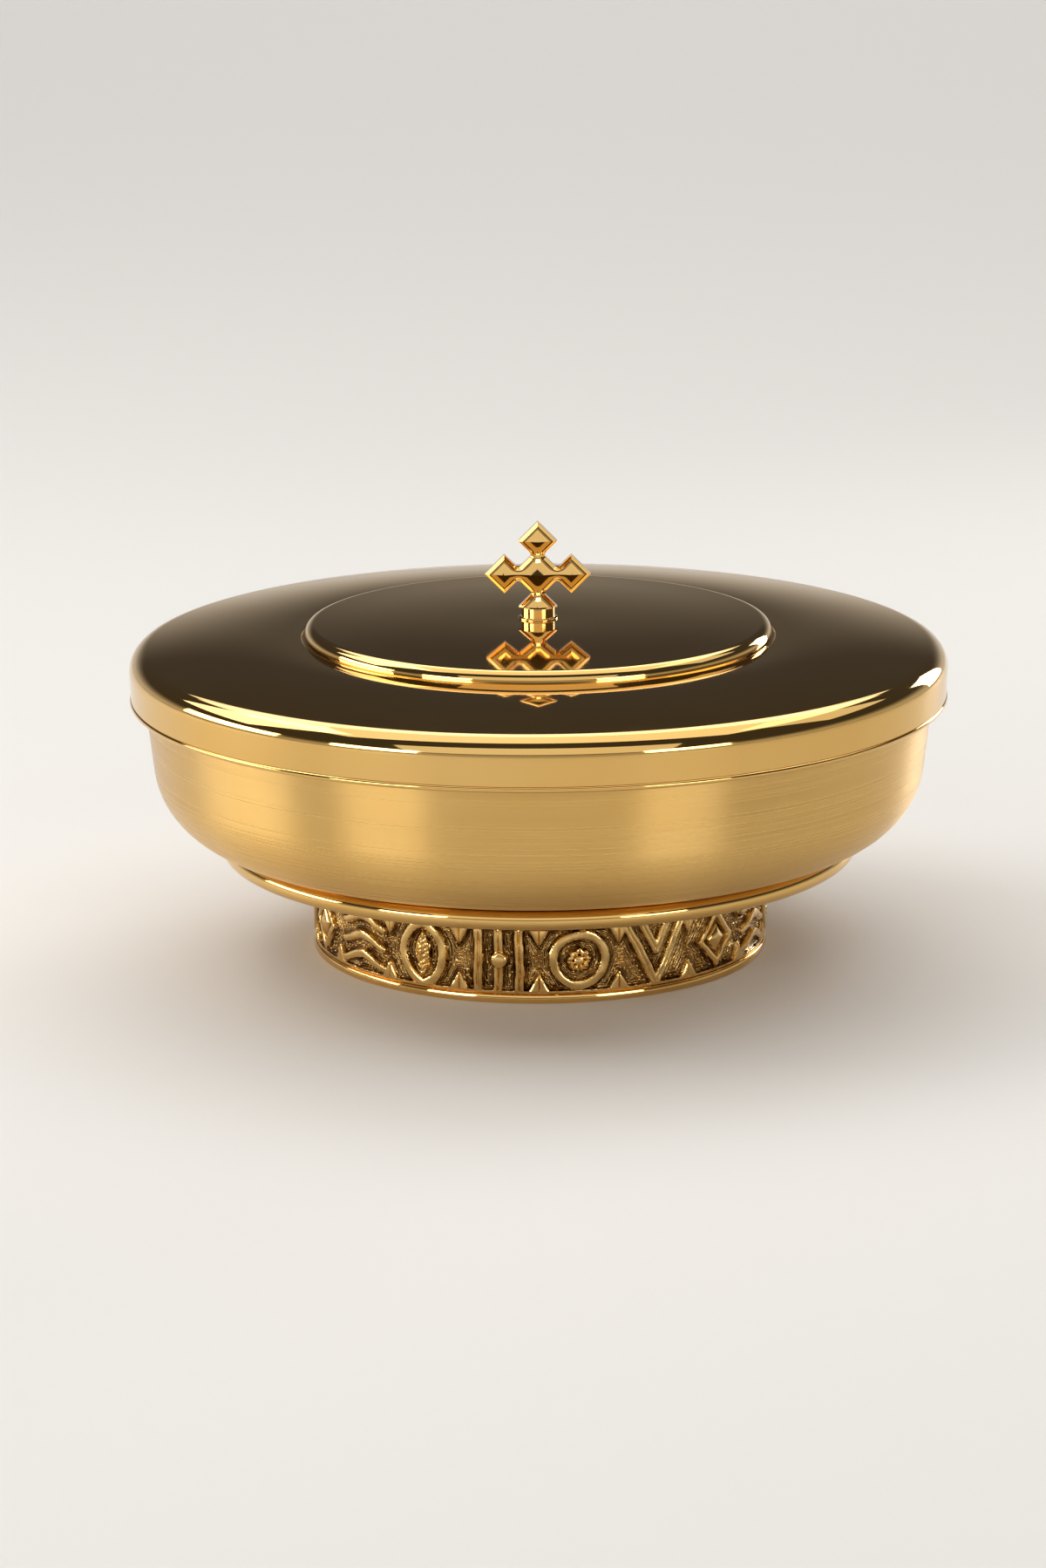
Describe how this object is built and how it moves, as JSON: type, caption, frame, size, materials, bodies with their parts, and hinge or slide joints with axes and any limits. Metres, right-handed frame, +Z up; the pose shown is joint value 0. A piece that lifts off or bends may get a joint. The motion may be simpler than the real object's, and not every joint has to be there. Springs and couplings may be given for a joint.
{
  "type": "ciborium",
  "caption": "Low gilt bowl ciborium on a cast relief foot, with a lift-off cap lid and a faceted cross finial.",
  "frame": {"origin": "centre of the foot rim's underside, on the surface that the vessel stands on", "axes": "+Z up along the vessel's axis; the cross is flat across +X and faces -Y, the picture's side"},
  "size_m": [0.18, 0.18, 0.0951],
  "materials": {
    "polished_gold": "gold plated and mirror polished",
    "satin_gold": "gold plated, finely turned satin",
    "cast_gold": "cast, gold plated, bright crests over dark grained ground",
    "bare_brass": "turned bare brass"
  },
  "bodies": {
    "vessel": {"foot_rim": "polished_gold", "relief_ring": "cast_gold", "saucer": "polished_gold", "bowl_shell": "satin_gold", "bowl_stud": "bare_brass", "clamp_plate": "bare_brass", "foot_washer": "bare_brass", "foot_nut": "bare_brass"},
    "lid": {"lid_shell": "polished_gold", "finial_collar": "polished_gold", "finial_cross": "polished_gold", "finial_stud": "bare_brass", "finial_washer": "bare_brass", "finial_nut": "bare_brass"}
  },
  "joints": [
    {"name": "lid_lift", "type": "slide", "parent": "vessel", "child": "lid", "axis": [0, 0, 1], "range_m": [0, 0.12]}
  ]
}
